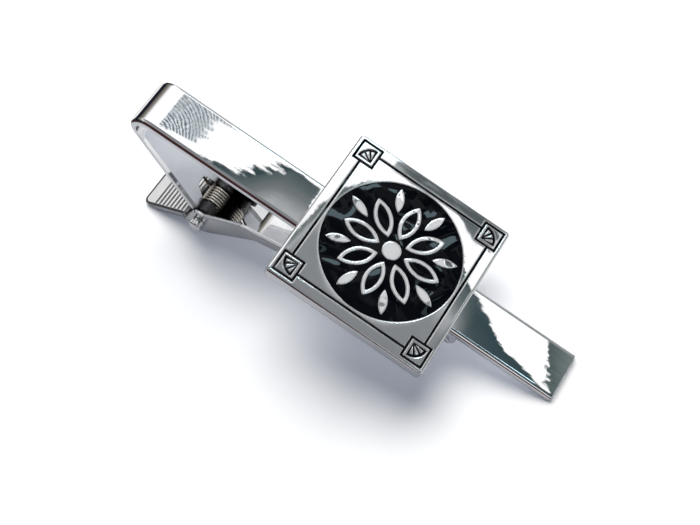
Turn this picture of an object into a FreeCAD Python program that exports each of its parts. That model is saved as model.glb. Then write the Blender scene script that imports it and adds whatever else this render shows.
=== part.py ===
"""Tie clip: a folded metal strip with a sprung alligator lever behind it and an enamelled emblem plate.

Every piece is drawn in the strip's own frame: X runs along the bar from the bend to the tip, Z points out
of the front face, and the zero is on the bar's front face under the middle of the emblem plate. The clip lies
on a table on its thumb tab and its bar tip, so all pieces share one placement that tilts and lifts them.
"""
import FreeCAD, Part
import Sketcher
import math
import os

doc = FreeCAD.newDocument("tie_clip")

# Driving sizes, in millimetres and degrees
SIZES = {
    # folded strip: bar, bend, leg, slot and knuckles
    "strip_width": 6.2,
    "strip_thick": 0.9,
    "bar_tip": 23.4,
    "bar_tail": 32.1,
    "bend_radius": 2.5,
    "leg_angle": 47,
    "leg_length": 14.4,
    "pin_inset": 0.5,
    "edge_round": 0.5,
    "slot_top_width": 1.4,
    "slot_low_width": 3.5,
    "slot_height": 2.55,
    "slot_straight": 0.1,
    "slot_round": 0.6,
    "knuckle_wall": 0.7,
    # pivot pin
    "pin_radius": 0.55,
    "pin_head_radius": 0.85,
    "pin_head_height": 0.95,
    "pin_head_round": 0.25,
    "press_gap": 0.02,
    "running_gap": 0.05,
    # torsion spring
    "wire": 0.3,
    "coil_radius": 1.2,
    "coil_pitch": 0.78,
    "coil_full_turns": 3,
    "leg_arm": 6.2,
    "tab_arm": 3.2,
    "arm_gap": 0.03,
    # lever: sheet channel
    "sheet": 0.45,
    "side_gap": 0.1,
    "belly_gap": 0.2,
    "tab_angle": 40,
    "tab_reach": 10.45,
    "tab_drop": 0.42,
    "tab_width": 6.2,
    "tab_taper": 0.5,
    "tab_corner": 1.0,
    "skirt_start": 1.7,
    "skirt_depth": 0.45,
    "lip_reach": 2.5,
    "rib_start": 2.0,
    "rib_pitch": 0.66,
    "rib_count": 9,
    "rib_width": 0.26,
    "rib_depth": 0.14,
    "rib_side": 0.35,
    "root_angle": 30,
    "root_round": 0.3,
    "rise_angle": 48,
    "rise_length": 8.6,
    "rise_round": 2.0,
    "jaw_reach": 30.1,
    "ridge_radius": 1.1,
    "grip_gap": 0.02,
    "flare_angle": 29,
    "flare_length": 2.0,
    "flare_corner": 0.9,
    "wall_stop": 1.4,
    "ear_top": 1.8,
    "ear_back": 1.0,
    "ear_front": 0.1,
    "ear_round": 0.8,
    "shoulder_reach": 4.95,
    "shoulder_top": 6.05,
    "shoulder_round": 1.2,
    # emblem plate and its joint with the bar
    "plate_side": 20,
    "plate_thick": 1.6,
    "plate_corner": 0.45,
    "plate_edge": 0.3,
    "pad_margin": 2,
    "pad_inset": 0.45,
    "pad_thick": 0.4,
    "recess": 0.35,
    "enamel_fill": 0.28,
    "disc_margin": 1.9,
    "line_inset": 1.5,
    "line_width": 0.28,
    "box_inset": 1.83,
    "box_side": 2.45,
    "fan_radius": 1.72,
    "fan_inset": 0.8,
    "ray_inner": 0.4,
    "ray_outer": 1.42,
    "ray_width": 0.4,
    "ray_spread": 26,
    # raised rosette in the round field
    "boss_radius": 1.1,
    "leaf_gap": 0.5,
    "leaf_margin": 1.9,
    "leaf_width": 2.1,
    "leaf_wall": 0.42,
    "spear_margin": 0.6,
    "spear_length": 2.9,
    "spear_width": 1.0,
    "petal_count": 8,
    # length by which a cut passes what it cuts
    "overrun": 2,
}

sizes = doc.addObject("Spreadsheet::Sheet", "sizes")
for row, (name, value) in enumerate(SIZES.items(), 1):
    sizes.set(f"A{row}", name)
    sizes.set(f"B{row}", str(value))
    sizes.setAlias(f"B{row}", name)


def meet(heading_a, depth_a, heading_b, depth_b):
    """Formulas for the crossing of two lines, each given by its heading and its depth below the pin."""
    scale = f"sin({heading_b} - {heading_a})"
    x = f"(({depth_b}) * cos({heading_a}) - ({depth_a}) * cos({heading_b})) / {scale}"
    z = f"(({depth_b}) * sin({heading_a}) - ({depth_a}) * sin({heading_b})) / {scale}"
    return x, z


# Places that follow from the sizes; those of the lever are measured from the pin
PLACES = {
    "bend_x": "sizes.bend_radius - sizes.bar_tail",
    "leg_mid": "sizes.bend_radius - sizes.strip_thick / 2",
    "pin_arm": "leg_mid - sizes.pin_inset",
    "pin_x": "bend_x - pin_arm * sin(sizes.leg_angle) + sizes.leg_length * cos(sizes.leg_angle)",
    "pin_z": "-sizes.bend_radius - pin_arm * cos(sizes.leg_angle) - sizes.leg_length * sin(sizes.leg_angle)",
    "knuckle_radius": "sizes.pin_radius + sizes.press_gap + sizes.knuckle_wall",
    "wall_inside": "sizes.strip_width / 2 + sizes.side_gap",
    "wall_outside": "wall_inside + sizes.sheet",
    "belly_inside": "sizes.coil_radius + sizes.wire / 2 + sizes.belly_gap",
    "belly_outside": "belly_inside + sizes.sheet",
    "tab_heading": "sizes.tab_angle",
    "root_heading": "-sizes.root_angle",
    "rise_heading": "sizes.rise_angle",
    "flare_heading": "-sizes.flare_angle",
    "knee_x": "belly_outside * sin(rise_heading) + sizes.rise_length * cos(rise_heading)",
    "knee_z": "sizes.rise_length * sin(rise_heading) - belly_outside * cos(rise_heading)",
    "ridge_z": "-pin_z - sizes.strip_thick - sizes.grip_gap - sizes.ridge_radius",
    "jaw_run": "sqrt((sizes.jaw_reach - knee_x)^2 + (ridge_z - knee_z)^2)",
    "jaw_heading": "(atan2(ridge_z - knee_z; sizes.jaw_reach - knee_x)"
                   " + asin((sizes.ridge_radius - sizes.sheet) / jaw_run)) / 1 deg",
    "jaw_depth": "knee_x * sin(jaw_heading) - knee_z * cos(jaw_heading)",
    "flare_depth": "sizes.jaw_reach * sin(flare_heading) - ridge_z * cos(flare_heading)"
                   " - sizes.ridge_radius + sizes.sheet",
    "tab_low_x": "sizes.tab_drop * sin(tab_heading) - sizes.tab_reach * cos(tab_heading)",
    "tab_low_z": "-sizes.tab_drop * cos(tab_heading) - sizes.tab_reach * sin(tab_heading)",
    "tab_high_x": "tab_low_x - sizes.sheet * sin(tab_heading)",
    "tab_high_z": "tab_low_z + sizes.sheet * cos(tab_heading)",
    "lip_x": "(sizes.tab_drop - sizes.sheet) * sin(tab_heading) - sizes.lip_reach * cos(tab_heading)",
    "lip_z": "(sizes.sheet - sizes.tab_drop) * cos(tab_heading) - sizes.lip_reach * sin(tab_heading)",
    "tilt": "atan2(-sizes.strip_thick - pin_z - tab_low_z; sizes.bar_tip - pin_x - tab_low_x) / 1 deg",
    "left_end": "(pin_x + tab_high_x) * cos(tilt) + (pin_z + tab_high_z) * sin(tilt)",
    "right_end": "sizes.bar_tip * cos(tilt)",
    "middle": "(left_end + right_end) / 2",
    "table": "(pin_z + tab_low_z) * cos(tilt) - (pin_x + tab_low_x) * sin(tilt)",
    "plate_floor": "sizes.plate_thick - sizes.recess",
    "pad_length": "sizes.plate_side - 2 * sizes.pad_margin",
    "pad_width": "sizes.strip_width - 2 * sizes.pad_inset",
    "disc_radius": "sizes.plate_side / 2 - sizes.disc_margin",
    "line_offset": "sizes.plate_side / 2 - sizes.line_inset",
    "box_offset": "sizes.plate_side / 2 - sizes.box_inset",
    "leaf_inner": "sizes.boss_radius + sizes.leaf_gap",
    "leaf_outer": "disc_radius - sizes.leaf_margin",
    "spear_outer": "disc_radius - sizes.spear_margin",
    "spear_inner": "spear_outer - sizes.spear_length",
    "leaf_breadth": "sizes.leaf_width",
    "spear_breadth": "sizes.spear_width",
    "leaf_curve": "((leaf_outer - leaf_inner)^2 + leaf_breadth^2) / (4 * leaf_breadth)",
    "spear_curve": "((spear_outer - spear_inner)^2 + spear_breadth^2) / (4 * spear_breadth)",
    "cell_curve": "leaf_curve - sizes.leaf_wall",
    "cell_breadth": "leaf_breadth - 2 * sizes.leaf_wall",
    "cell_half": "sqrt(cell_curve^2 - (leaf_curve - leaf_breadth / 2)^2)",
    "cell_inner": "(leaf_inner + leaf_outer) / 2 - cell_half",
    "cell_outer": "(leaf_inner + leaf_outer) / 2 + cell_half",
}

places = doc.addObject("Spreadsheet::Sheet", "places")
for row, (name, formula) in enumerate(PLACES.items(), 1):
    places.set(f"A{row}", name)
    places.setAlias(f"B{row}", name)
    places.set(f"B{row}", "=" + formula)
doc.recompute()


def seat(piece, x="0", y="0", z="0"):
    """Put a piece at a place of the strip's frame, then tilt and lift it with all the others."""
    piece.Placement = FreeCAD.Placement(FreeCAD.Vector(), FreeCAD.Rotation(FreeCAD.Vector(0, 1, 0), 1))
    piece.setExpression("Placement.Rotation.Angle", "places.tilt")
    piece.setExpression(
        "Placement.Base.x", f"({x}) * cos(places.tilt) + ({z}) * sin(places.tilt) - places.middle"
    )
    piece.setExpression("Placement.Base.y", y)
    piece.setExpression(
        "Placement.Base.z", f"({z}) * cos(places.tilt) - ({x}) * sin(places.tilt) - places.table"
    )


def new_body(label, **place):
    body = doc.addObject("PartDesign::Body", label)
    body.Label = label
    seat(body, **place)
    return body


def origin_feature(body, role):
    return next(item for item in body.Origin.OriginFeatures if item.Role == role)


def new_sketch(body, label, role, lift=None, turn=None):
    """Empty sketch on one of the body's own planes, raised or turned in that plane by a formula."""
    sketch = body.newObject("Sketcher::SketchObject", label)
    sketch.AttachmentSupport = [(origin_feature(body, role), "")]
    sketch.MapMode = "FlatFace"
    if lift:
        sketch.setExpression("AttachmentOffset.Base.z", lift)
    if turn:
        sketch.AttachmentOffset = FreeCAD.Placement(
            FreeCAD.Vector(), FreeCAD.Rotation(FreeCAD.Vector(0, 0, 1), 1)
        )
        sketch.setExpression("AttachmentOffset.Rotation.Angle", turn)
    return sketch


def bind_point(sketch, item, point, spot, x, y):
    """Tie one point of a sketch to its two formulas."""
    for kind, formula, value in (("DistanceX", x, spot.x), ("DistanceY", y, spot.y)):
        number = sketch.addConstraint(Sketcher.Constraint(kind, -1, 1, item, point, value))
        sketch.setExpression(f"Constraints[{number}]", formula)


def draw_loop(sketch, corners):
    """Closed loop of straight lines; each corner is a pair of formulas."""
    first = sketch.GeometryCount
    count = len(corners)
    angles = [2 * math.pi * step / count for step in range(count)]
    spots = [FreeCAD.Vector(math.cos(angle), math.sin(angle), 0) for angle in angles]
    for step in range(count):
        sketch.addGeometry(Part.LineSegment(spots[step], spots[(step + 1) % count]))
    for step, (x, y) in enumerate(corners):
        following = first + (step + 1) % count
        sketch.addConstraint(Sketcher.Constraint("Coincident", first + step, 2, following, 1))
        bind_point(sketch, first + step, 1, spots[step], x, y)


def draw_rectangle(sketch, left, right, low, high):
    draw_loop(sketch, [(left, low), (right, low), (right, high), (left, high)])


def draw_circle(sketch, radius, x="0", y="0"):
    middle = FreeCAD.Vector()
    circle = sketch.addGeometry(Part.Circle(middle, FreeCAD.Vector(0, 0, 1), 1))
    bind_point(sketch, circle, 3, middle, x, y)
    number = sketch.addConstraint(Sketcher.Constraint("Radius", circle, 1))
    sketch.setExpression(f"Constraints[{number}]", radius)


def extrude(body, kind, label, sketch, length=None, symmetric=False):
    """Pad or pocket a sketch; a pocket with no length goes through everything."""
    feature = body.newObject(f"PartDesign::{kind}", label)
    feature.Profile = sketch
    if symmetric:
        feature.SideType = "Symmetric"
    if length:
        feature.setExpression("Length", length)
    else:
        feature.Type = "ThroughAll"
    doc.recompute()
    return feature


def round_edges(body, label, base, wanted, radius):
    """Fillet the edges of the last feature that a test picks."""
    picked = [f"Edge{number}" for number, edge in enumerate(base.Shape.Edges, 1) if wanted(edge)]
    fillet = body.newObject("PartDesign::Fillet", label)
    fillet.Base = (base, picked)
    fillet.setExpression("Radius", radius)
    doc.recompute()
    return fillet


TOUCH = sizes.get("overrun") / 10000


def stands_on(sketch, corners):
    """Test for the edges that stand square on the given corners of a sketch."""
    back = sketch.Placement.inverse()
    spots = [sketch.Geometry[corner].StartPoint for corner in corners]

    def wanted(edge):
        ends = [back.multVec(vertex.Point) for vertex in edge.Vertexes]
        return len(ends) == 2 and any(
            all(math.hypot(end.x - spot.x, end.y - spot.y) < TOUCH for end in ends) for spot in spots
        )

    return wanted


# Folded strip: bar, bend and sloping leg, with two rolled knuckles either side of an arched slot
bar = new_body("front_bar")
fold = new_sketch(bar, "fold_outline", "XZ_Plane")
corner_x = "places.bend_x - ({radius}) / tan(sizes.leg_angle / 2)"
outer_x = corner_x.format(radius="sizes.bend_radius")
inner_x = corner_x.format(radius="sizes.bend_radius - sizes.strip_thick")


def off_pin(distance):
    """Place at a distance from the pin, square to the leg and towards its inner face."""
    return (f"places.pin_x + ({distance}) * sin(sizes.leg_angle)",
            f"places.pin_z + ({distance}) * cos(sizes.leg_angle)")


leg_outside = "(sizes.strip_thick / 2 + sizes.pin_inset)"
leg_inside = "(sizes.strip_thick / 2 - sizes.pin_inset)"
draw_loop(fold, [
    ("sizes.bar_tip", "0"),
    (outer_x, "0"),
    off_pin(f"-{leg_outside}"),
    off_pin(leg_inside),
    (inner_x, "-sizes.strip_thick"),
    ("sizes.bar_tip", "-sizes.strip_thick"),
])
strip = extrude(bar, "Pad", "strip", fold, "sizes.strip_width", symmetric=True)
bend = round_edges(bar, "bend_outside", strip, stands_on(fold, [1]), "sizes.bend_radius")
bend = round_edges(bar, "bend_inside", bend, stands_on(fold, [4]), "sizes.bend_radius - sizes.strip_thick")


def on_front_edge(edge):
    """Long edges of the outer face, from the tip round the bend to the leg's end."""
    side = sizes.get("strip_width") / 2
    thick = sizes.get("strip_thick")
    middle = edge.valueAt((edge.FirstParameter + edge.LastParameter) / 2)
    leg = FreeCAD.Vector(math.sin(math.radians(sizes.get("leg_angle"))), 0,
                         math.cos(math.radians(sizes.get("leg_angle"))))
    pin = FreeCAD.Vector(places.get("pin_x"), 0, places.get("pin_z"))
    bend_middle = FreeCAD.Vector(places.get("bend_x"), 0, -sizes.get("bend_radius"))
    flat = FreeCAD.Vector(middle.x, 0, middle.z)
    on_bar = abs(middle.z) < TOUCH
    on_leg = abs((flat - pin).dot(leg) + thick / 2 + sizes.get("pin_inset")) < TOUCH
    on_bend = abs((flat - bend_middle).Length - sizes.get("bend_radius")) < TOUCH
    ends = [vertex.Point.y for vertex in edge.Vertexes]
    along = all(abs(abs(y) - side) < TOUCH for y in ends) and ends[0] * ends[-1] > 0
    return along and (on_bar or on_leg or on_bend)


strip = round_edges(bar, "front_edges", bend, on_front_edge, "sizes.edge_round")
roll = new_sketch(bar, "knuckle_roll", "XZ_Plane")
draw_circle(roll, "places.knuckle_radius", "places.pin_x", "places.pin_z")
extrude(bar, "Pad", "knuckles", roll, "sizes.strip_width", symmetric=True)
arch = new_sketch(bar, "slot_outline", "YZ_Plane")
low = "places.pin_z - places.knuckle_radius - sizes.overrun"
shoulder = "places.pin_z + sizes.slot_straight"
top = "places.pin_z + sizes.slot_height"
draw_loop(arch, [
    ("-sizes.slot_low_width / 2", low),
    ("sizes.slot_low_width / 2", low),
    ("sizes.slot_low_width / 2", shoulder),
    ("sizes.slot_top_width / 2", top),
    ("-sizes.slot_top_width / 2", top),
    ("-sizes.slot_low_width / 2", shoulder),
])
slot = extrude(bar, "Pocket", "slot", arch, symmetric=True)
slot = round_edges(bar, "slot_top", slot, stands_on(arch, [3, 4]), "sizes.slot_round")
bore = new_sketch(bar, "knuckle_bore", "XZ_Plane")
draw_circle(bore, "sizes.pin_radius + sizes.press_gap", "places.pin_x", "places.pin_z")
extrude(bar, "Pocket", "bores", bore, symmetric=True)

# Stamped lever: thumb tab, root, belly round the pin, rise, long jaw and turned-down end, in one sheet
lever = new_body("clip_lever", x="places.pin_x", z="places.pin_z")
runs = {
    "tab": ("places.tab_heading", "sizes.tab_drop"),
    "root": ("places.root_heading", "places.belly_outside"),
    "rise": ("places.rise_heading", "places.belly_outside"),
    "jaw": ("places.jaw_heading", "places.jaw_depth"),
    "flare": ("places.flare_heading", "places.flare_depth"),
}


def floor_corner(run, following, inside=False):
    """Corner of the sheet's underside, or of its inside, between two of its runs."""
    raised = " - sizes.sheet" if inside else ""
    heading_a, depth_a = runs[run]
    heading_b, depth_b = runs[following]
    return meet(heading_a, depth_a + raised, heading_b, depth_b + raised)


def beside_ridge(heading, height, along):
    """Place near the jaw's ridge: a height over its middle and a distance along a heading."""
    x = f"sizes.jaw_reach - ({height}) * sin({heading}) + ({along}) * cos({heading})"
    z = f"places.ridge_z + ({height}) * cos({heading}) + ({along}) * sin({heading})"
    return x, z


wall_end = beside_ridge("places.jaw_heading", "sizes.ridge_radius", "-sizes.wall_stop")
side = new_sketch(lever, "lever_side", "XZ_Plane")
draw_loop(side, [
    ("places.tab_low_x", "places.tab_low_z"),
    floor_corner("tab", "root"),
    floor_corner("root", "rise"),
    floor_corner("rise", "jaw"),
    floor_corner("jaw", "flare"),
    beside_ridge("places.flare_heading", "sizes.ridge_radius - sizes.sheet", "sizes.flare_length"),
    beside_ridge("places.flare_heading", "sizes.ridge_radius", "sizes.flare_length"),
    floor_corner("jaw", "flare", inside=True),
    wall_end,
    ("sizes.shoulder_reach", "sizes.shoulder_top"),
    ("sizes.ear_front", "sizes.ear_top"),
    ("-sizes.ear_back", "sizes.ear_top"),
    ("places.lip_x", "places.lip_z"),
    ("places.tab_high_x", "places.tab_high_z"),
])
blank = extrude(lever, "Pad", "lever_blank", side, "2 * places.wall_outside", symmetric=True)
for corners, label, radius in (
    ([1], "root_under", "sizes.root_round"),
    ([3], "rise_under", "sizes.rise_round"),
    ([4], "ridge_under", "sizes.ridge_radius - sizes.sheet"),
    ([7], "ridge_over", "sizes.ridge_radius"),
    ([9], "shoulder", "sizes.shoulder_round"),
    ([10, 11], "ears", "sizes.ear_round"),
):
    blank = round_edges(lever, label, blank, stands_on(side, corners), radius)
hollow = new_sketch(lever, "channel_side", "XZ_Plane")
above = "sizes.shoulder_top + places.wall_outside + sizes.overrun"
draw_loop(hollow, [
    ("places.lip_x", "places.lip_z"),
    floor_corner("tab", "root", inside=True),
    floor_corner("root", "rise", inside=True),
    floor_corner("rise", "jaw", inside=True),
    wall_end,
    (wall_end[0], f"{wall_end[1]} + {above}"),
    ("places.lip_x", f"{wall_end[1]} + {above}"),
])
channel = extrude(lever, "Pocket", "channel", hollow, "2 * places.wall_inside", symmetric=True)
for corners, label, radius in (
    ([1], "root_over", "sizes.root_round + sizes.sheet"),
    ([2], "belly_over", "places.belly_inside"),
    ([3], "rise_over", "sizes.rise_round + sizes.sheet"),
):
    channel = round_edges(lever, label, channel, stands_on(hollow, corners), radius)
round_edges(lever, "belly_under", channel, stands_on(side, [2]), "places.belly_outside")
ear_hole = new_sketch(lever, "ear_hole", "XZ_Plane")
draw_circle(ear_hole, "sizes.pin_radius + sizes.running_gap")
extrude(lever, "Pocket", "ear_holes", ear_hole, symmetric=True)

taper = new_sketch(lever, "tab_taper", "XY_Plane")
past_tab = "places.tab_high_x - sizes.overrun"
past_side = "places.wall_outside + sizes.overrun"
draw_loop(taper, [
    ("places.lip_x", "places.wall_outside"),
    ("places.lip_x - sizes.tab_taper", "sizes.tab_width / 2"),
    (past_tab, "sizes.tab_width / 2"),
    (past_tab, past_side),
    ("places.lip_x", past_side),
])
trim = extrude(lever, "Pocket", "tab_trim", taper, symmetric=True)
both = lever.newObject("PartDesign::Mirrored", "tab_sides")
both.Originals = [trim]
both.MirrorPlane = (origin_feature(lever, "XZ_Plane"), [""])
lever.Tip = both
doc.recompute()


def at_end(low_x, low_z, high_x, high_z):
    """Test for the edges through the sheet between two places of its end face, on both sides."""

    def wanted(edge):
        ends = [(vertex.Point.x, vertex.Point.z) for vertex in edge.Vertexes]
        marks = [(low_x, low_z), (high_x, high_z)]
        return len(ends) == 2 and all(
            min(math.hypot(end[0] - mark[0], end[1] - mark[1]) for end in ends) < TOUCH for mark in marks
        )

    return wanted


tab_face = [places.get(name) for name in ("tab_low_x", "tab_low_z", "tab_high_x", "tab_high_z")]
tab = round_edges(lever, "tab_corners", both, at_end(*tab_face), "sizes.tab_corner")
flare_low = side.Geometry[5].StartPoint
flare_high = side.Geometry[6].StartPoint
flare_face = at_end(flare_low.x, flare_low.y, flare_high.x, flare_high.y)
tab = round_edges(lever, "flare_corners", tab, flare_face, "sizes.flare_corner")
skirt = new_sketch(
    lever, "skirt_side", "XZ_Plane", turn="places.tab_heading", lift="sizes.tab_width / 2 - sizes.sheet"
)
skirt_left = "sizes.skirt_start - sizes.tab_reach"
skirt_right = "-sizes.lip_reach - sizes.tab_taper"
draw_loop(skirt, [
    (skirt_left, "-sizes.tab_drop"),
    (f"{skirt_left} + sizes.skirt_depth", "-sizes.tab_drop - sizes.skirt_depth"),
    (skirt_right, "-sizes.tab_drop - sizes.skirt_depth"),
    (skirt_right, "-sizes.tab_drop"),
])
near_skirt = extrude(lever, "Pad", "skirt", skirt, "sizes.sheet")
skirts = lever.newObject("PartDesign::Mirrored", "skirts")
skirts.Originals = [near_skirt]
skirts.MirrorPlane = (origin_feature(lever, "XZ_Plane"), [""])
lever.Tip = skirts
doc.recompute()
rib = new_sketch(lever, "rib_section", "XZ_Plane", turn="places.tab_heading")
rib_left = "sizes.rib_start - sizes.tab_reach"
tab_top = "sizes.sheet - sizes.tab_drop"
draw_loop(rib, [
    (rib_left, tab_top),
    (f"{rib_left} + sizes.rib_width / 2", f"{tab_top} - sizes.rib_depth"),
    (f"{rib_left} + sizes.rib_width", tab_top),
    (f"{rib_left} + sizes.rib_width / 2", f"{tab_top} + sizes.rib_depth"),
])
rib_length = "sizes.tab_width - 2 * sizes.rib_side"
groove = extrude(lever, "Pocket", "rib_groove", rib, rib_length, symmetric=True)
ribs = lever.newObject("PartDesign::LinearPattern", "tab_ribs")
ribs.Originals = [groove]
ribs.Direction = (rib, ["H_Axis"])
ribs.setExpression("Length", "sizes.rib_pitch * (sizes.rib_count - 1)")
ribs.setExpression("Occurrences", "sizes.rib_count")
lever.Tip = ribs
doc.recompute()

# Rivet: shank through ears and knuckles, one head outside each ear
pin = new_body("pivot_pin", x="places.pin_x", z="places.pin_z")
head_inside = "places.wall_outside + sizes.running_gap"
shank = new_sketch(pin, "shank_section", "XZ_Plane")
draw_circle(shank, "sizes.pin_radius")
extrude(pin, "Pad", "shank", shank, f"2 * ({head_inside})", symmetric=True)
head = new_sketch(pin, "head_section", "XZ_Plane", lift=head_inside)
draw_circle(head, "sizes.pin_head_radius")
head_pad = extrude(pin, "Pad", "head", head, "sizes.pin_head_height")
heads = pin.newObject("PartDesign::Mirrored", "heads")
heads.Originals = [head_pad]
heads.MirrorPlane = (origin_feature(pin, "XZ_Plane"), [""])
pin.Tip = heads
doc.recompute()
head_top = places.get("wall_outside") + sizes.get("running_gap") + sizes.get("pin_head_height")


def on_head_rim(edge):
    return all(abs(abs(vertex.Point.y) - head_top) < TOUCH for vertex in edge.Vertexes)


round_edges(pin, "head_rims", heads, on_head_rim, "sizes.pin_head_round")


# Torsion spring: a helix of biarcs with a straight arm at each end, one unbroken wire
def biarc(start, start_way, end, end_way):
    """Two arcs that leave one point and reach another along given ways, each as start, middle and end."""
    chord = end - start
    ways = start_way + end_way
    square = 2 * (1 - start_way.dot(end_way))
    reach = (math.sqrt(chord.dot(ways) ** 2 + square * chord.dot(chord)) - chord.dot(ways)) / square
    first_pole = start + start_way * reach
    last_pole = end - end_way * reach
    joint = (first_pole + last_pole) / 2
    arcs = []
    for near, pole, far in ((start, first_pole, joint), (joint, last_pole, end)):
        half = (far - near).Length / 2
        lean = math.acos(half / reach)
        foot = (near + far) / 2
        arcs.append((near, foot + (pole - foot).normalize() * half * math.tan(lean / 2), far))
    return arcs


size = {name: sizes.get(name) for name in SIZES}
place = {name: places.get(name) for name in PLACES}
coil = size["coil_radius"]


def arm_lean(clear, arm):
    """Angle by which an arm leans so that its end lies a given distance off a line through the pin."""
    return math.degrees(math.acos(clear / math.hypot(coil, arm)) - math.atan2(arm, coil))


leg_way = 180 - size["leg_angle"]
leg_clear = size["strip_thick"] / 2 + size["pin_inset"] + size["wire"] / 2 + size["arm_gap"]
leg_arm_way = leg_way - arm_lean(leg_clear, size["leg_arm"])
tab_way = 180 + size["tab_angle"]
tab_clear = size["sheet"] - size["tab_drop"] + size["wire"] / 2 + size["arm_gap"]
tab_arm_way = tab_way + arm_lean(tab_clear, size["tab_arm"])
first_angle = leg_arm_way + 90
last_angle = tab_arm_way - 90 + 360 * size["coil_full_turns"]
quarters = math.ceil((last_angle - first_angle) / 90)
coil_rise = size["coil_pitch"] * (last_angle - first_angle) / 360


def coil_point(share):
    angle = math.radians(first_angle + (last_angle - first_angle) * share)
    return FreeCAD.Vector(coil * math.cos(angle), coil_rise * (1 / 2 - share), coil * math.sin(angle))


def coil_way(share):
    angle = math.radians(first_angle + (last_angle - first_angle) * share)
    slope = -size["coil_pitch"] / (2 * math.pi) if 0 < share < 1 else 0
    way = FreeCAD.Vector(-coil * math.sin(angle), slope, coil * math.cos(angle))
    return way.normalize()


shares = [step / quarters for step in range(quarters + 1)]
arcs = []
for share, following in zip(shares, shares[1:]):
    arcs += biarc(coil_point(share), coil_way(share), coil_point(following), coil_way(following))
arm_start = coil_point(0) - coil_way(0) * size["leg_arm"]
arm_end = coil_point(1) + coil_way(1) * size["tab_arm"]
edges = [Part.LineSegment(arm_start, coil_point(0)).toShape()]
edges += [Part.Arc(*arc).toShape() for arc in arcs]
edges.append(Part.LineSegment(coil_point(1), arm_end).toShape())
path = Part.Wire(edges)
section = Part.Wire(Part.makeCircle(size["wire"] / 2, arm_start, coil_way(0)))
spring = doc.addObject("Part::Feature", "torsion_spring")
spring.Label = "torsion_spring"
spring.Shape = path.makePipeShell([section], True, False)
seat(spring, "places.pin_x", "0", "places.pin_z")

points = path.discretize(Distance=size["wire"] / 2)
apart = math.ceil(math.pi * coil / (size["wire"] / 2))
least = min(
    (points[far] - points[near]).Length
    for near in range(len(points))
    for far in range(near + apart, len(points))
) - size["wire"]
print("spring: least gap to itself %.2f mm" % least)
volume = math.pi * (size["wire"] / 2) ** 2 * path.Length
print("spring: volume against section times length %.4f" % (spring.Shape.Volume / volume))

# Solder joint between the bar and the plate
pad = doc.addObject("Part::Box", "solder_pad")
pad.Label = "solder_pad"
pad.setExpression("Length", "places.pad_length")
pad.setExpression("Width", "places.pad_width")
pad.setExpression("Height", "sizes.pad_thick")
seat(pad, "-places.pad_length / 2", "-places.pad_width / 2", "0")

# Emblem plate: struck square with a recessed border, corner boxes, corner fans and round field
plate = new_body("emblem_plate", z="sizes.pad_thick")
square = new_sketch(plate, "plate_outline", "XY_Plane")
plate_half = "sizes.plate_side / 2"
draw_rectangle(square, f"-{plate_half}", plate_half, f"-{plate_half}", plate_half)
slab = extrude(plate, "Pad", "plate_slab", square, "sizes.plate_thick")
slab = round_edges(plate, "plate_corners", slab, stands_on(square, [0, 1, 2, 3]), "sizes.plate_corner")


def on_plate_rim(edge):
    return all(abs(vertex.Point.z - sizes.get("plate_thick")) < TOUCH for vertex in edge.Vertexes)


slab = round_edges(plate, "plate_rim", slab, on_plate_rim, "sizes.plate_edge")
field = new_sketch(plate, "field_outline", "XY_Plane", lift="sizes.plate_thick")
draw_circle(field, "places.disc_radius")
extrude(plate, "Pocket", "round_field", field, "sizes.recess")

box_in = "places.box_offset - (sizes.box_side - sizes.line_width) / 2"
box_out = "places.box_offset + (sizes.box_side - sizes.line_width) / 2"
box_near = "places.box_offset - (sizes.box_side + sizes.line_width) / 2"
box_far = "places.box_offset + (sizes.box_side + sizes.line_width) / 2"
frame = new_sketch(plate, "box_outline", "XY_Plane", lift="sizes.plate_thick")
draw_rectangle(frame, box_near, box_far, box_near, box_far)
draw_rectangle(frame, box_in, box_out, box_in, box_out)
box_cut = extrude(plate, "Pocket", "corner_box", frame, "sizes.recess")
line = new_sketch(plate, "border_outline", "XY_Plane", lift="sizes.plate_thick")
line_in = "places.line_offset - sizes.line_width / 2"
line_out = "places.line_offset + sizes.line_width / 2"
line_end = "places.box_offset - sizes.box_side / 2"
draw_rectangle(line, f"-({line_end})", line_end, line_in, line_out)
line_cut = extrude(plate, "Pocket", "border_line", line, "sizes.recess")

fan = new_sketch(plate, "fan_outline", "XY_Plane", lift="sizes.plate_thick")
fan_root = "places.box_offset - sizes.fan_inset"
root = place["box_offset"] - size["fan_inset"]
reach = size["fan_radius"]
root_spot = FreeCAD.Vector(root, root, 0)
right_spot = FreeCAD.Vector(root + reach, root, 0)
upper_spot = FreeCAD.Vector(root, root + reach, 0)
bow = Part.ArcOfCircle(Part.Circle(root_spot, FreeCAD.Vector(0, 0, 1), reach), 0, math.pi / 2)
fan.addGeometry([Part.LineSegment(root_spot, right_spot), bow, Part.LineSegment(upper_spot, root_spot)])
for one, one_end, other, other_end in ((0, 2, 1, 1), (1, 2, 2, 1), (2, 2, 0, 1), (1, 3, 0, 1)):
    fan.addConstraint(Sketcher.Constraint("Coincident", one, one_end, other, other_end))
fan.addConstraint(Sketcher.Constraint("Horizontal", 0))
fan.addConstraint(Sketcher.Constraint("Vertical", 2))
bow_radius = fan.addConstraint(Sketcher.Constraint("Radius", 1, reach))
fan.setExpression(f"Constraints[{bow_radius}]", "sizes.fan_radius")
bind_point(fan, 0, 1, root_spot, fan_root, fan_root)
fan_cut = extrude(plate, "Pocket", "corner_fan", fan, "sizes.recess")


def polar(radius, angle, middle):
    return f"{middle} + ({radius}) * cos({angle})", f"{middle} + ({radius}) * sin({angle})"


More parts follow.
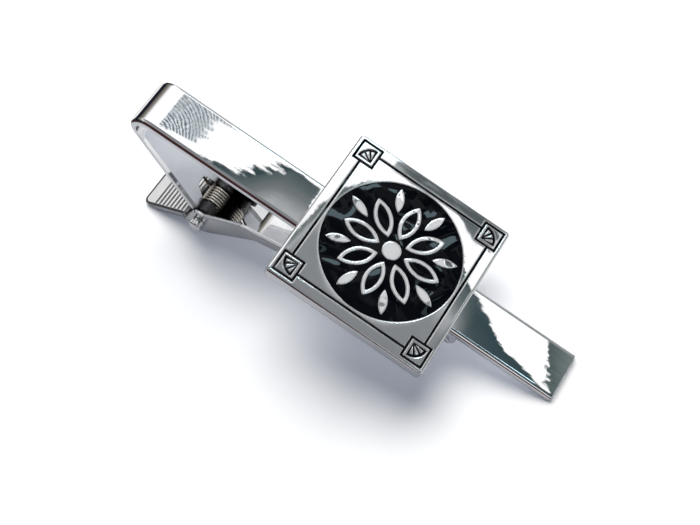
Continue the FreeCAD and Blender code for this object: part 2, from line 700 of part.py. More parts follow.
rays = new_sketch(plate, "ray_outline", "XY_Plane", lift="places.plate_floor")
half_ray = "asin(sizes.ray_width / 2 / sizes.ray_outer) / 1 deg"
for turn in (-1, 0, 1):
    way = f"(45 + {turn} * sizes.ray_spread)"
    draw_loop(rays, [
        polar("sizes.ray_inner", way, fan_root),
        polar("sizes.ray_outer", f"{way} - {half_ray}", fan_root),
        polar("sizes.ray_outer", f"{way} + {half_ray}", fan_root),
    ])
ray_pad = extrude(plate, "Pad", "fan_rays", rays, "sizes.recess")


def repeat_round(label, originals, count):
    pattern = plate.newObject("PartDesign::PolarPattern", label)
    pattern.Originals = originals
    pattern.Axis = (origin_feature(plate, "Z_Axis"), [""])
    pattern.setExpression("Occurrences", count)
    plate.Tip = pattern
    doc.recompute()
    return pattern


corners = repeat_round("corners", [box_cut, line_cut, fan_cut, ray_pad], "4")


# Raised rosette in the round field: a boss, hollow leaves, and solid spears between them
def draw_leaf(sketch, kind, turn="0"):
    """Two arcs that meet in a point at each end, pointing away from the plate's middle."""
    first = sketch.GeometryCount
    way = math.radians(180 / size["petal_count"] if turn != "0" else 0)
    along = FreeCAD.Vector(math.cos(way), math.sin(way), 0)
    across = FreeCAD.Vector(-math.sin(way), math.cos(way), 0)
    inner = along * place[f"{kind}_inner"]
    outer = along * place[f"{kind}_outer"]
    bulge = across * (place[f"{kind}_breadth"] / 2)
    sketch.addGeometry(Part.Arc(inner, (inner + outer) / 2 - bulge, outer))
    sketch.addGeometry(Part.Arc(outer, (inner + outer) / 2 + bulge, inner))
    sketch.addConstraint(Sketcher.Constraint("Coincident", first, 2, first + 1, 1))
    sketch.addConstraint(Sketcher.Constraint("Coincident", first + 1, 2, first, 1))
    for point, spot, end in ((1, inner, f"places.{kind}_inner"), (2, outer, f"places.{kind}_outer")):
        bind_point(sketch, first, point, spot, f"{end} * cos({turn})", f"{end} * sin({turn})")
    for arc in (first, first + 1):
        start = sketch.Geometry[arc].Radius
        number = sketch.addConstraint(Sketcher.Constraint("Radius", arc, start))
        sketch.setExpression(f"Constraints[{number}]", f"places.{kind}_curve")


boss = new_sketch(plate, "boss_outline", "XY_Plane", lift="places.plate_floor")
draw_circle(boss, "sizes.boss_radius")
extrude(plate, "Pad", "boss", boss, "sizes.recess")
leaf = new_sketch(plate, "leaf_outline", "XY_Plane", lift="places.plate_floor")
draw_leaf(leaf, "leaf")
draw_leaf(leaf, "cell")
leaf_pad = extrude(plate, "Pad", "leaf", leaf, "sizes.recess")
spear = new_sketch(plate, "spear_outline", "XY_Plane", lift="places.plate_floor")
draw_leaf(spear, "spear", turn="180 / sizes.petal_count")
spear_pad = extrude(plate, "Pad", "spear", spear, "sizes.recess")
petals = repeat_round("petals", [leaf_pad, spear_pad], "sizes.petal_count")


# Enamel in the leaves: one drop in each hollow, shaped like it
enamel_low = "sizes.pad_thick + places.plate_floor"
leaf_drops = []
for step in range(size["petal_count"]):
    drop = new_body(f"leaf_enamel_{step + 1}", z=enamel_low)
    turn = f"{step} * 360 / sizes.petal_count"
    drop_outline = new_sketch(drop, f"drop_outline_{step + 1}", "XY_Plane", turn=turn)
    draw_leaf(drop_outline, "cell")
    extrude(drop, "Pad", f"drop_{step + 1}", drop_outline, "sizes.enamel_fill")
    leaf_drops.append(drop)


# Enamel round the rosette, in the border and in the corners: plain blocks on the recess floor, less the metal
def pool(label, block):
    cut = doc.addObject("Part::Cut", label)
    cut.Label = label
    cut.Base = block
    cut.Tool = plate
    return cut


def without(label, block, pieces):
    """A block less other pieces of enamel."""
    tools = doc.addObject("Part::MultiFuse", f"{label}_left_out")
    tools.Shapes = pieces
    cut = doc.addObject("Part::Cut", label)
    cut.Base = block
    cut.Tool = tools
    return cut


disc_block = doc.addObject("Part::Cylinder", "disc_block")
disc_block.setExpression("Radius", "places.disc_radius")
disc_block.setExpression("Height", "sizes.enamel_fill")
seat(disc_block, z=enamel_low)
pool("disc_enamel", without("disc_round_leaves", disc_block, leaf_drops))


def block(label, side_x, side_y, x, y):
    """Plain enamel block centred on a place of the plate."""
    box = doc.addObject("Part::Box", label)
    box.setExpression("Length", side_x)
    box.setExpression("Width", side_y)
    box.setExpression("Height", "sizes.enamel_fill")
    seat(box, f"{x} - ({side_x}) / 2", f"{y} - ({side_y}) / 2", enamel_low)
    return box


border_side = "2 * places.box_offset + sizes.box_side + 2 * sizes.line_width"
border_block = block("border_block", border_side, border_side, "0", "0")
inner_block = doc.addObject("Part::Cylinder", "field_block")
inner_block.setExpression("Radius", "(places.disc_radius + places.line_offset - sizes.line_width / 2) / 2")
inner_block.setExpression("Height", "sizes.enamel_fill")
seat(inner_block, z=enamel_low)
fan_side = "sizes.box_side - sizes.line_width"
fan_blocks = []
for label, way_x, way_y in (
    ("near_right", "1", "-1"), ("far_right", "1", "1"), ("far_left", "-1", "1"), ("near_left", "-1", "-1"),
):
    middle_x = f"{way_x} * places.box_offset"
    middle_y = f"{way_y} * places.box_offset"
    fan_blocks.append(block(f"{label}_block", fan_side, fan_side, middle_x, middle_y))
    pool(f"corner_enamel_{label}", fan_blocks[-1])
pool("border_enamel", without("border_only", border_block, [inner_block] + fan_blocks))
doc.recompute()

# Checks, then one file for each piece
failed = [item.Name for item in doc.Objects if {"Invalid", "Error"} & set(item.State)]
assert not failed, f"failed objects: {failed}"
pieces = [bar, lever, pin, spring, pad, plate]
pieces += leaf_drops
pieces += [item for item in doc.Objects if item.TypeId == "Part::Cut" and "enamel" in item.Label]
os.makedirs("parts", exist_ok=True)
for piece in pieces:
    assert not piece.Shape.isNull() and piece.Shape.isValid(), f"bad shape: {piece.Label}"
    piece.Shape.exportStep(f"parts/{piece.Label}.step")
    box = piece.Shape.BoundBox
    print(f"{piece.Label}: {len(piece.Shape.Solids)} solid, {piece.Shape.Volume:.3f} mm3,"
          f" x {box.XMin:.2f} to {box.XMax:.2f}, y {box.YMin:.2f} to {box.YMax:.2f},"
          f" z {box.ZMin:.2f} to {box.ZMax:.2f}")
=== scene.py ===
import bpy
import math
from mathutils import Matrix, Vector


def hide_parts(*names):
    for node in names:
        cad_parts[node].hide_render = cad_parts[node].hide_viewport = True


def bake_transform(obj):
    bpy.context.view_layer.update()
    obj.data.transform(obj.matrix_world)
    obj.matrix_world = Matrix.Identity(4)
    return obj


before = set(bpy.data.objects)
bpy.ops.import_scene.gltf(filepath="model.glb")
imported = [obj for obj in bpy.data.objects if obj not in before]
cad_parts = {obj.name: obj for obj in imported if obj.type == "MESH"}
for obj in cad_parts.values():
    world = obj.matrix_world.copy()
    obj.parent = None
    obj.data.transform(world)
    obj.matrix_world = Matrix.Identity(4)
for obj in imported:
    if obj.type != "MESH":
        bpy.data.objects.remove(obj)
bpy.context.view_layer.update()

bpy.ops.object.select_all(action="DESELECT")
scene = bpy.context.scene
scene.view_settings.view_transform = "Standard"

# The photograph's view: a close camera above the near right of the clip, fitted to the emblem
# plate's corners and the bar's edges. The picture is 700 pixels wide and 525 high.
PICTURE_WIDTH = 700
FOCAL_PIXELS = 1250
CAMERA_PLACE = (0.05087812, -0.05702085, 0.12634637)
CAMERA_TURNS = (31.26512, 5.912245, 31.632052)
camera_data = bpy.data.cameras.new("camera")
camera_data.sensor_width = 36
camera_data.lens = FOCAL_PIXELS / PICTURE_WIDTH * camera_data.sensor_width
camera_data.clip_start = 0.001
camera = bpy.data.objects.new("camera", camera_data)
camera.location = CAMERA_PLACE
camera.rotation_euler = [math.radians(turn) for turn in CAMERA_TURNS]
scene.collection.objects.link(camera)
scene.camera = camera

# Front bar: one strip of brass, folded over at one end into the sloping leg, whose forked end is
# rolled into knuckles for the pin. It is buffed along its length and nickel plated, so long faint
# ripples run with the strip and make the edges of what it mirrors jagged.
LEAN = math.radians(21.237658)
PIN = (-0.0182512, 0.0, 0.0037589)
ABOVE_BAR = (0.36224, 0, 0.93209)
INTO_LEG = (0.9288, 0, 0.3707)
UP_LEG = (-0.3708, 0, 0.9288)
PAINTED_DARK_TONE = (0.022, 0.020, 0.022)
MASK_SMEAR = 0.0016
MICROMETRE = 1e-6
SPECK_DULLNESS = 0.03
SATIN_DULLNESS = 0.2
SATIN_PALENESS = 0.85


class Tone:
    """One socket of a shader, on which shader maths is written as plain expressions."""

    def __init__(self, tree, socket=None):
        self.tree = tree
        self.socket = socket

    def node(self, kind, settings=(), sockets=(), output=0):
        """One output of a new node, whose settings are made before its sockets are filled."""
        made = self.tree.nodes.new("ShaderNode" + kind)
        for name, value in dict(settings).items():
            if name == "stops":
                stops = made.color_ramp.elements
                while len(stops) < len(value):
                    stops.new(1)
                for stop, (place, colour) in zip(stops, value):
                    stop.position = place
                    stop.color = (*colour, 1)
            else:
                setattr(made, name, value)
        for name, value in dict(sockets).items():
            if isinstance(value, Tone):
                self.tree.links.new(value.socket, made.inputs[name])
            else:
                made.inputs[name].default_value = value
        return Tone(self.tree, made.outputs[output])

    def math(self, operation, *values):
        return self.node("Math", {"operation": operation}, dict(enumerate(values)))

    def __add__(self, other):
        return self.math("ADD", self, other)

    __radd__ = __add__

    def __sub__(self, other):
        return self.math("SUBTRACT", self, other)

    def __rsub__(self, other):
        return self.math("SUBTRACT", other, self)

    def __mul__(self, other):
        return self.math("MULTIPLY", self, other)

    __rmul__ = __mul__

    def __truediv__(self, other):
        return self.math("DIVIDE", self, other)

    def __rtruediv__(self, other):
        return self.math("DIVIDE", other, self)

    def __abs__(self):
        return self.math("ABSOLUTE", self)

    def larger(self, other):
        return self.math("MAXIMUM", self, other)

    def ease(self, low, high, start=0.0, end=1.0):
        """Smooth step of this value, from one level to another."""
        return self.node("MapRange", {"interpolation_type": "SMOOTHSTEP"}, {
            "Value": self, "From Min": low, "From Max": high, "To Min": start, "To Max": end,
        })

    def blend(self, first, second):
        """Mix of two colours by this value."""
        first, second = (
            colour if isinstance(colour, Tone) else (*colour, 1) for colour in (first, second)
        )
        return self.node("Mix", {"data_type": "RGBA"}, {0: self, 6: first, 7: second}, output=2)

    def ramp(self, *stops):
        """Colour at this value on a ramp of places and colours."""
        return self.node("ValToRGB", {"stops": stops}, {"Fac": self})

    def vector(self, operation, other, output="Vector"):
        return self.node("VectorMath", {"operation": operation}, {0: self, 1: other}, output)

    def dot(self, aim):
        return self.vector("DOT_PRODUCT", aim, "Value")

    def distance(self, place=(0, 0, 0)):
        return self.vector("DISTANCE", place, "Value")

    def axis(self, name):
        return self.node("SeparateXYZ", {}, {0: self}, name)

    def noise(self, scale, detail=2.0, roughness=0.5, distortion=0.0):
        """Noise at this place, from 0 to 1."""
        return self.node("TexNoise", {}, {
            "Vector": self, "Scale": scale, "Detail": detail,
            "Roughness": roughness, "Distortion": distortion,
        })


def new_finish(name):
    """New material, its shader, and the place on the piece that wears it."""
    material = bpy.data.materials.new(name)
    material.use_nodes = True
    shader = material.node_tree.nodes["Principled BSDF"]
    return material, shader, Tone(material.node_tree).node("TexCoord", output="Object")


def leaned(place, stretch=(1, 1, 1)):
    """Place on the piece, turned to lean as the bar does and stretched to suit a pattern."""
    return place.node("Mapping", {}, {
        "Vector": place, "Rotation": (0, -LEAN, 0), "Scale": stretch,
    })


def feed(tone, shader, name):
    """Link a tone to one input of a shader."""
    tone.tree.links.new(tone.socket, shader.inputs[name])


def dress(node, material):
    """Give a CAD node a finish in place of its plain one."""
    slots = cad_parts[node].data.materials
    slots.clear()
    slots.append(material)


def plated(
    name, stretch, ripple, peel, light, dark, roughness, rounding,
    unbuffed=None, painted_dark=None, loose=None,
):
    """Bright nickel plate over buffed metal: tint, haze, broken edges and uneven skin.

    ripple and peel are the scale and the height, in micrometres, of the buffing marks and of the
    orange peel. unbuffed, painted_dark and loose say where the finish differs from the rest; the
    darkening mask says where the tint is painted towards near black: painted shade round the pivot
    and on the thumb tab, and darker arms on the spring.
    """
    material, shader, place = new_finish(name)
    haze = place.noise(scale=260.0, detail=4.0, roughness=0.6)
    specks = place.noise(scale=5200.0, detail=2.0, roughness=0.6).ease(0.7, 0.78)
    tint = haze.ease(0.3, 0.7).blend(light, dark)
    # Where a darkening mask is given, the tint is blended towards near black: painted shade round
    # the pivot and on the thumb tab, and darker spring arms.
    if painted_dark:
        tint = painted_dark(place).blend(tint, PAINTED_DARK_TONE)
    feed(tint, shader, "Base Color")
    dullness = haze.ease(0.35, 0.75, *roughness) + specks * SPECK_DULLNESS
    shader.inputs["Metallic"].default_value = 1.0
    if unbuffed:
        satin = unbuffed(place)
        dullness = dullness + satin * SATIN_DULLNESS
        feed(1 - satin * SATIN_PALENESS, shader, "Metallic")
    feed(dullness, shader, "Roughness")
    ripple_scale, ripple_height = ripple
    peel_scale, peel_height = peel
    along_grain = leaned(place, stretch)
    buffed = along_grain.noise(ripple_scale, detail=3.0, roughness=0.55) * ripple_height
    swell = (place.noise(peel_scale, detail=2.0, roughness=0.5) - 0.5) * peel_height
    if loose:
        swell = swell * loose(place)
    edge = place.node("Bevel", {"samples": 6}, {"Radius": rounding})
    skin = place.node("Bump", {}, {
        "Height": buffed + swell, "Strength": 1.0, "Distance": MICROMETRE, "Normal": edge,
    })
    feed(skin, shader, "Normal")
    return material


def inside_fold(place):
    """Mask of the bar's underside and the leg's inner face, where no buffing wheel reaches."""
    under_bar = 1 - place.dot(ABOVE_BAR).ease(0.0104, 0.0106)
    past_leg = place.dot(INTO_LEG).ease(-0.0161, -0.0159)
    below_bend = 1 - place.dot(UP_LEG).ease(0.0240, 0.0243)
    off_edge = 1 - abs(place.axis("Y")).ease(0.0025, 0.0027)
    return under_bar * past_leg * off_edge * below_bend


def from_pin(place):
    """Distance from the pin's axis, made uneven."""
    off = place.vector("SUBTRACT", PIN).vector("MULTIPLY", (1, 0, 1))
    smear = place.noise(scale=800.0, detail=3.0, roughness=0.6) - 0.5
    return off.distance() + smear * MASK_SMEAR


def painted_knuckle_shade(place):
    """Mask of the painted shade on the rolled knuckles and on the cut sides of the slot above them.
    """
    off = from_pin(place)
    past_leg = place.dot(INTO_LEG)
    cut = past_leg.ease(-0.01646, -0.01642) * (1 - past_leg.ease(-0.01570, -0.01566))
    in_slot = 1 - abs(place.axis("Y")).ease(0.0019, 0.0021)
    low = 1 - off.ease(0.0042, 0.005)
    return (cut * in_slot * low).larger(1 - off.ease(0.0014, 0.0021))


bar_nickel = plated(
    "bar_nickel", stretch=(0.035, 1, 1), ripple=(3400.0, 0.16), peel=(340.0, 1.2),
    light=(0.88, 0.88, 0.89), dark=(0.83, 0.84, 0.85), roughness=(0.008, 0.022),
    rounding=0.00008, unbuffed=inside_fold, painted_dark=painted_knuckle_shade,
)
dress("front_bar", bar_nickel)

# Lever: thin steel sheet, stamped, ribbed at the thumb tab, folded up into a channel and nickel
# plated. Pressing leaves it a little less flat than the bar. Its faces between the ears, round the
# pin, are painted dark as shade, and the ribs and the rim of the tab get painted dark lines: shade
# in the ribs and a dark reflection along the rounded rim. Its nickel is tinted darker than the
# bar's as painted shade.
OUT_ON_TAB = (-0.947, 0, -0.322)
TAB_CORNER_OUT = 0.00945
TAB_CORNER_SIDE = 0.0021


def painted_lever_shade(place):
    """Mask of the painted shade inside the ears, round the pin, and of the painted dark lines on
    the thumb tab: shade in the ribs and a dark reflection along the rim.
    """
    off_pin = place.vector("SUBTRACT", PIN)
    side = abs(place.axis("Y"))
    between_ears = 1 - side.ease(0.0033, 0.0035)
    faces_pin = 1 - off_pin.dot(place.node("TexCoord", output="Normal")).ease(0.0004, 0.0007)
    # Painted shade on the faces between the ears that look towards the pin.
    ear_shade = (1 - from_pin(place).ease(0.0026, 0.0037)) * between_ears * faces_pin
    # Painted shade and painted dark reflection along the tab's ribs and rim.
    rounded = place.node("Bevel", {"samples": 8}, {"Radius": 0.0005})
    ribs = (1 - rounded.dot(place.node("NewGeometry", output="Normal"))).ease(0.03, 0.10)
    corner = place.node("CombineXYZ", {}, {
        "X": (off_pin.dot(OUT_ON_TAB) - TAB_CORNER_OUT).larger(0.0),
        "Y": (side - TAB_CORNER_SIDE).larger(0.0),
    }).distance()
    rim = corner.ease(0.00066, 0.00074) * (1 - corner.ease(0.00097, 0.00099))
    on_tab = 1 - place.axis("X").ease(-0.0200, -0.0190)
    return (ear_shade * 0.95).larger(ribs.larger(rim) * on_tab * 0.94)


# The lever's tint is set darker than the bar's nickel as painted shade.
lever_nickel = plated(
    "lever_nickel", stretch=(0.2, 1, 0.2), ripple=(1500.0, 1.2), peel=(420.0, 7.0),
    light=(0.74, 0.74, 0.74), dark=(0.64, 0.64, 0.65), roughness=(0.02, 0.05),
    rounding=0.00022, painted_dark=painted_lever_shade,
)
dress("clip_lever", lever_nickel)

# Pivot pin: a steel rivet turned with a head at each end, which holds the lever's ears outside the
# leg's knuckles. It is plated with the rest, and keeps fine turning marks.
pin_nickel = plated(
    "pin_nickel", stretch=(1, 6, 1), ripple=(1800.0, 1.0), peel=(900.0, 3.0),
    light=(0.86, 0.86, 0.87), dark=(0.80, 0.80, 0.82), roughness=(0.04, 0.09),
    rounding=0.00012,
)
dress("pivot_pin", pin_nickel)

# Torsion spring: six close turns of round steel wire on the pin. One straight arm lies behind the
# leg and the other on the thumb tab, and they push the two apart. The wire is bright drawn, and its
# arms are coloured darker than the coil.
WIRE = 0.00034
COIL = 0.0013
TURNS = 6
PITCH = 0.00037
LEG_ARM = 0.0062
TAB_ARM = 0.0032
LEG_SLOPE = math.radians(131.6)
TAB_SLOPE = math.radians(220)
ABOVE_TAB = 0.00023
WIRE_SIDES = 16
COIL_STEPS = 200
END_REACH = WIRE * 0.505
TIP_INSET = WIRE * 0.12
TIP_CROWN = WIRE * 0.1
leg_way = LEG_SLOPE - LEAN
over_tab = math.acos(ABOVE_TAB / math.hypot(COIL, TAB_ARM)) - math.atan2(TAB_ARM, COIL)
tab_way = TAB_SLOPE + over_tab - LEAN
coil_start = leg_way + math.pi / 2
coil_end = tab_way - math.pi / 2 + TURNS * 2 * math.pi
coil_turn = coil_end - coil_start
RISE = PITCH * coil_turn / (2 * math.pi)


def on_coil(angle, side):
    """Place on the middle of the wire, at an angle round the pin and a distance along it."""
    return Vector((PIN[0] + COIL * math.cos(angle), side, PIN[2] + COIL * math.sin(angle)))


bpy.ops.mesh.primitive_circle_add(
    vertices=WIRE_SIDES, radius=WIRE / 2, rotation=(0, -coil_start, 0),
    location=on_coil(coil_start, RISE / 2),
)
spring = bpy.context.object
spring.name = "spring_coil"
bpy.ops.object.transform_apply(location=True, rotation=True, scale=True)
scene.cursor.location = PIN
bpy.ops.object.origin_set(type="ORIGIN_CURSOR")
winding = spring.modifiers.new("winding", "SCREW")
winding.axis = "Y"
winding.angle = -coil_turn
winding.screw_offset = -RISE
winding.iterations = 1
winding.steps = COIL_STEPS
winding.render_steps = COIL_STEPS
winding.use_merge_vertices = False
bpy.ops.object.modifier_apply(modifier="winding")
bpy.ops.object.transform_apply(location=True, rotation=True, scale=True)


def draw_arm(near, reach, way):
    """Draw the wire's end ring at a place out into a straight arm, and close and soften its tip."""
    bpy.ops.object.mode_set(mode="EDIT")
    bpy.ops.mesh.select_mode(type="VERT")
    bpy.ops.mesh.select_all(action="DESELECT")
    bpy.ops.object.mode_set(mode="OBJECT")
    for vertex in spring.data.vertices:
        vertex.select = (vertex.co - near).length < END_REACH
    bpy.ops.object.mode_set(mode="EDIT")
    step = (reach * math.cos(way), 0, reach * math.sin(way))
    bpy.ops.mesh.extrude_region_move(TRANSFORM_OT_translate={"value": step})
    bpy.ops.mesh.edge_face_add()
    bpy.ops.mesh.inset(thickness=TIP_INSET, depth=TIP_CROWN)
    bpy.ops.object.mode_set(mode="OBJECT")


draw_arm(on_coil(coil_start, RISE / 2), LEG_ARM, leg_way)
draw_arm(on_coil(coil_end, -RISE / 2), TAB_ARM, tab_way)
bpy.ops.object.mode_set(mode="EDIT")
bpy.ops.mesh.select_all(action="SELECT")
bpy.ops.mesh.normals_make_consistent(inside=False)
bpy.ops.object.mode_set(mode="OBJECT")
bpy.ops.object.shade_smooth_by_angle(angle=math.radians(50))


def dark_arms(place):
    """Mask of the two arms, which are coloured darker than the coil."""
    return from_pin(place).ease(0.0016, 0.0024) * 0.8


wire_steel = plated(
    "wire_steel", stretch=(1, 0.3, 1), ripple=(2600.0, 0.8), peel=(900.0, 2.0),
    light=(0.76, 0.72, 0.65), dark=(0.44, 0.41, 0.36), roughness=(0.02, 0.06),
    rounding=0.00003, painted_dark=dark_arms,
)
spring.data.materials.append(wire_steel)
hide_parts("torsion_spring")
RISE / 2
-RISE / 2
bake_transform(spring)

# Solder joint: soft solder, run in between the plate's back and the bar to fix the plate. Only a
# thin grey line of it shows, plated over, and it stays rougher than the metal on both sides.
solder_grey = plated(
    "solder_grey", stretch=(1, 1, 1), ripple=(900.0, 12.0), peel=(2600.0, 14.0),
    light=(0.62, 0.62, 0.64), dark=(0.48, 0.48, 0.50), roughness=(0.28, 0.46),
    rounding=0.00005,
)
dress("solder_pad", solder_grey)

# Emblem plate: a square struck from sheet, with a sunk border line, corner fans and a rosette that
# stands in a round field. Its front is lapped flat and plated, the rosette is left as struck, and
# the plating leaves all edges soft.
ROSETTE = (0.0070692, 0, 0.0111794)
STRUCK_SWELL = 36.0


def struck(place):
    """How many times less flat the rosette is than the lapped face round it."""
    return place.distance(ROSETTE).ease(0.0074, 0.0079, STRUCK_SWELL, 1.0)


plate_nickel = plated(
    "plate_nickel", stretch=(1, 0.12, 1), ripple=(2600.0, 0.2), peel=(300.0, 1.6),
    light=(0.88, 0.88, 0.89), dark=(0.82, 0.83, 0.84), roughness=(0.010, 0.026),
    rounding=0.0002, loose=struck,
)
dress("emblem_plate", plate_nickel)

# Enamel: black glassy enamel, poured into every sunk place of the plate and left unground, so its
# skin is wavy and climbs a little at the metal.
DEEP_BLACK = (0.0006, 0.001, 0.0024)
CLOUDY_BLACK = (0.0014, 0.002, 0.0038)
WAVE_HEIGHT = 0.0006
MENISCUS = 0.00016
enamel, shader, place = new_finish("black_enamel")
place = leaned(place)
cloud = place.noise(scale=900.0, detail=3.0, roughness=0.5)
feed(cloud.ease(0.3, 0.75).blend(DEEP_BLACK, CLOUDY_BLACK), shader, "Base Color")
feed(cloud.ease(0.3, 0.8, 0.003, 0.012), shader, "Roughness")
wave = place.noise(scale=200.0, detail=1.0, roughness=0.4, distortion=0.6)
climb = place.node("Bevel", {"samples": 6}, {"Radius": MENISCUS})
skin = place.node("Bump", {}, {
    "Height": wave, "Strength": 1.0, "Distance": WAVE_HEIGHT, "Normal": climb,
})
feed(skin, shader, "Normal")
shader.inputs["Specular IOR Level"].default_value = 0.1
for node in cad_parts:
    if "enamel" in node:
        dress(node, enamel)

# Table top: plain white board that fills the view and takes the clip's soft shadow. In what metal
# mirrors, its colour is painted darker as painted reflection and shade: grey by the clip's near
# side, paler to the far side, and near black far out and towards its near and left edges.
WHITE = (1, 1, 1)
BLACK = (0, 0, 0)
PAPER_DARK = (0.86, 0.86, 0.87)
PAPER_LIGHT = (0.88, 0.88, 0.885)
PAPER_NEAR = (0.48, 0.485, 0.50)
PAPER_FAR = (0.8, 0.8, 0.8)
DARK_EDGE = (0.04, 0.022, 0.022)
TABLE_SIZE = 8.0
bpy.ops.mesh.primitive_plane_add(size=TABLE_SIZE, location=(0, 0, 0))
table = bpy.context.object
table.name = "table_top"
board, shader, place = new_finish("white_board")
grain = place.noise(scale=900.0, detail=3.0, roughness=0.6)
paper = grain.ease(0.3, 0.7).blend(PAPER_DARK, PAPER_LIGHT)
reach = place.distance()
back = place.axis("Y")
right = place.axis("X")
# Painted reflection and shade: as metal mirrors it, the board is painted grey near the clip and
# near black far out and past its near and left edges.
painted_falloff = reach.ease(0.055, 0.10) * (1 - (back + right * 0.8).ease(-0.01, 0.05))
painted_falloff = painted_falloff.larger(1 - back.ease(-0.044, -0.030))
painted_falloff = painted_falloff.larger(1 - right.ease(-0.056, -0.042))
painted_mirror_grey = back.ease(0.0, 0.03).blend(PAPER_NEAR, PAPER_FAR)
painted_mirror_board = painted_falloff.blend(painted_mirror_grey, DARK_EDGE)
in_mirror = place.node("LightPath", output="Is Glossy Ray")
seen_direct = place.node("LightPath", output="Is Camera Ray")
feed(seen_direct.blend(in_mirror.blend(paper, painted_mirror_board), WHITE), shader, "Base Color")
far_white = reach.ease(0.11, 0.26) * seen_direct
feed(far_white.blend(BLACK, WHITE), shader, "Emission Color")
shader.inputs["Emission Strength"].default_value = 1.0
shader.inputs["Roughness"].default_value = 0.9
shader.inputs["Specular IOR Level"].default_value = 0.0
table.data.materials.append(board)

# Lamps: one large soft lamp nearly overhead, which throws the shadow towards the viewer, and a low
# white card by the thumb tab. The metal mirrors the card and not the lamp.
lamp_data = bpy.data.lights.new("soft_lamp", "AREA")
lamp_data.shape = "DISK"
lamp_data.size = 0.51
lamp_data.energy = 3.5
lamp_data.color = (1.0, 0.98, 0.94)
lamp = bpy.data.objects.new("soft_lamp", lamp_data)
lamp.location = (-0.104, 0.207, 0.482)
lamp.rotation_euler = (math.radians(-23.4), math.radians(-11.3), 0)
lamp.visible_glossy = False
scene.collection.objects.link(lamp)

card_data = bpy.data.lights.new("low_card", "AREA")
card_data.shape = "RECTANGLE"
card_data.size = 0.016
card_data.size_y = 0.03
card_data.energy = math.pi * card_data.size * card_data.size_y
card = bpy.data.objects.new("low_card", card_data)
card.location = (-0.055, 0.012, 0.009)
card.rotation_euler = (0, math.radians(-90), 0)
card.visible_camera = False
scene.collection.objects.link(card)

# Room: pale light from low down all round, and what polished metal mirrors. That is white above,
# with dark walls past the table's near, left and far right edges.
ROOM_WHITE = (1.25, 1.25, 1.26)
NEAR_WALL = (0.06, 0.026, 0.028)
FAR_WALL = (0.07, 0.08, 0.085)
LOW_LIGHT = (2.1, 2.3, 2.75)
NO_LIGHT = (0.02, 0.022, 0.026)
room = bpy.data.worlds.new("room")
scene.world = room
room.use_nodes = True
room.node_tree.nodes.clear()
way = Tone(room.node_tree).node("TexCoord", output="Generated")
height = way.axis("Z")
rightward = way.axis("X")
leftward = way.dot((-1, 0, 0))
nearward = way.dot((0, -1, 0))
farward = way.axis("Y")
low_wall = 1 - abs(height - 0.08).ease(0.38, 0.46)
high_wall = height.ease(0.3, 0.35) * (1 - height.ease(0.76, 0.82))
high_wall = high_wall * (1 - rightward.ease(0.22, 0.34))
near_wall = low_wall.larger(high_wall) * nearward.ease(0.2, 0.5)
mirror = near_wall.blend(ROOM_WHITE, NEAR_WALL)
left_tone = ((height + 0.3) / 1.2).ramp(
    (0.0, (0.010, 0.013, 0.030)), (0.50, (0.012, 0.014, 0.026)), (0.58, (0.11, 0.10, 0.085)),
    (0.76, (0.30, 0.275, 0.24)), (0.88, WHITE),
)
mirror = leftward.ease(0.38, 0.55).blend(mirror, left_tone)
far_wall = farward.ease(0.55, 0.7) * rightward.ease(0.08, 0.16) * (1 - height.ease(0.72, 0.80))
mirror = far_wall.blend(mirror, FAR_WALL)

# Flags: sheets of dark cloth with combed edges, hung overhead where the bar and the plate mirror
# them, with a striped screen and strip lamps beside them. Places among them are measured along and
# across the bar.
FLAGS_AHEAD = (0.31808, 0.39572, 0.86153)
FLAGS_ALONG = (0.93698, 0.00665, -0.34899)
FLAGS_ACROSS = (0.14383, -0.91824, 0.36866)
FLAGS_SCALE = 12.5
FLAGS_MIDDLE = (0.233, -0.3335)
STRIP_LIGHT = (9.6, 13.4, 15.0)
ahead = way.dot(FLAGS_AHEAD)
in_front = ahead.ease(0.35, 0.6)
depth = ahead.larger(0.05)
along = way.dot(FLAGS_ALONG) / depth * FLAGS_SCALE - FLAGS_MIDDLE[0]
across = way.dot(FLAGS_ACROSS) / depth * FLAGS_SCALE - FLAGS_MIDDLE[1]
flat = way.node("CombineXYZ", {}, {"X": along, "Y": across})
combed = way.node("Mapping", {}, {"Vector": flat, "Scale": (1.1, 15, 1)})
fringe = abs(combed.noise(scale=1.0, detail=2.0, roughness=0.6) - 0.5) - 0.1
drift = flat.noise(scale=2.2, detail=2.0, roughness=0.5) - 0.5
frayed = along + fringe * (along.ease(-1.3, -1.0, -1.5, 0.12) + along.ease(0.3, 0.9, 0.0, 0.35))


def hang(mirror, mask, tone):
    """What the metal mirrors, with one more thing hung in front of it."""
    return (mask * in_front).blend(mirror, tone)


def under_flag(place):
    """How far a place along the bar is inside the main flag's curved edge."""
    edge = (
        place.ease(0.95, 1.56, -0.115, 0.2) - place.ease(0.45, 0.95, 0.38, 0.0)
        + place.ease(-1.66, -1.19, 0.335, 0.0) + place.ease(-2.5, -2.1, 0.3, 0.0)
        + abs(place).ease(1.5, 2.6, 0.0, 0.2)
    )
    levels = ((0.0, 0.4246), (0.05, 1.0), (0.2, 0.536), (0.41, 0.251), (0.8, 0.039), (1.0, 0.0))
    over_plate = ((place + 0.895) / 0.47).ramp(*((stop, [level] * 3) for stop, level in levels))
    return across - (edge + over_plate * 0.895) + drift * 0.05


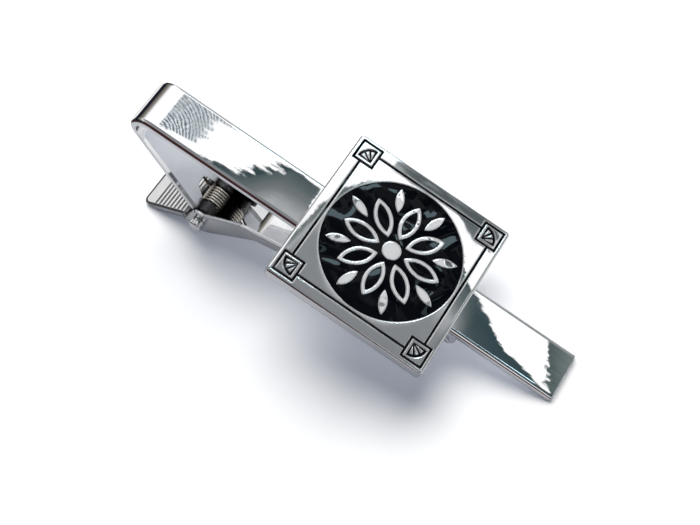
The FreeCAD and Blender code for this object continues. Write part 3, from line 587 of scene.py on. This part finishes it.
flag_tone = (under_flag(along) / 2.0 + fringe * 0.03).ramp(
    (0.0, (0.045, 0.072, 0.078)), (0.015, (0.09, 0.12, 0.127)), (0.05, (0.12, 0.15, 0.155)),
    (0.11, (0.20, 0.22, 0.225)), (0.19, (0.46, 0.47, 0.48)), (0.3, (0.27, 0.285, 0.295)),
    (1.0, (0.235, 0.25, 0.26)),
)
flag_tone = along.ease(0.85, 1.15, 0.0, 0.86).blend(flag_tone, (0.035, 0.065, 0.075))
off_middle = flat.distance((0.05, 0.02, 0)).ease(0.62, 0.76)
flag_tone = off_middle.blend((0.72, 0.73, 0.74), flag_tone)
mirror = hang(mirror, under_flag(frayed).ease(-0.003, 0.006), flag_tone)

rings = flat.distance((-2.6, 0.37, 0)) * 195.0 + drift * 12.0
bands = rings.math("SINE", rings).ease(-0.75, 0.75)
screen_end = along - fringe * 0.7 - across.ease(-0.14, -0.09, 0.34, 0.0)
screen = (
    (along + across * 0.08).ease(-2.572, -2.56) * (1 - screen_end.ease(-2.155, -2.145))
    * across.ease(-0.145, -0.137) * (1 - (across + along * 0.145).ease(-0.109, -0.101))
)
mirror = hang(mirror, screen, bands.blend((0.085, 0.115, 0.13), (0.92, 0.98, 1.03)))

past_tip = frayed - across * 0.75 - 1.905
tip_tone = (past_tip / 0.6).ramp(
    (0.0, (0.08, 0.11, 0.11)), (0.35, (0.15, 0.19, 0.185)), (1.0, (0.30, 0.32, 0.32)),
)
mirror = hang(mirror, past_tip.ease(-0.005, 0.007), tip_tone)

far_edge = across + drift * 0.1 - along.ease(0.33, 0.7, 0.0, 0.15)
far_ends = frayed.ease(-0.42, -0.40) * (1 - frayed.ease(0.82, 0.85))
far_streak = fringe.ease(-0.08, 0.08) * along.ease(0.3, 0.45, 1.0, 0.25)
far_tone = far_streak.blend((0.09, 0.11, 0.115), (0.50, 0.52, 0.53))
mirror = hang(mirror, (1 - far_edge.ease(-0.69, -0.67)) * far_ends, far_tone)

ring = (abs(along) * 0.95).larger(abs(across))
far_left = (along * across).ease(0.6, 0.75) * (1 - along.ease(-0.2, 0.0))
near_right = (along * across).ease(1.5, 1.7) * along.ease(0.0, 0.2) * 0.3
strip = ring.ease(1.12, 1.16) * (1 - ring.ease(1.85, 1.90)) * (far_left + near_right)
first_bounce = 1 - way.node("LightPath", output="Ray Depth").ease(2.4, 2.6)
mirror = hang(mirror, strip * first_bounce, STRIP_LIGHT)

low_light = (height - leftward * 0.16).ease(0.25, 0.42).blend(LOW_LIGHT, NO_LIGHT)
fill = way.node("Background", {}, {"Color": low_light, "Strength": 1.0})
plain = way.node("Background", {}, {"Color": (*WHITE, 1), "Strength": 1.0})
mirrored = way.node("Background", {}, {"Color": mirror, "Strength": 1.0})
camera_path = way.node("LightPath", output="Is Camera Ray")
clear_path = way.node("LightPath", output="Is Transmission Ray")
glossy_path = way.node("LightPath", output="Is Glossy Ray")
seen = way.node("MixShader", {}, {0: camera_path.larger(clear_path), 1: fill, 2: plain})
seen = way.node("MixShader", {}, {0: glossy_path, 1: seen, 2: mirrored})
output = room.node_tree.nodes.new("ShaderNodeOutputWorld")
feed(seen, output, "Surface")
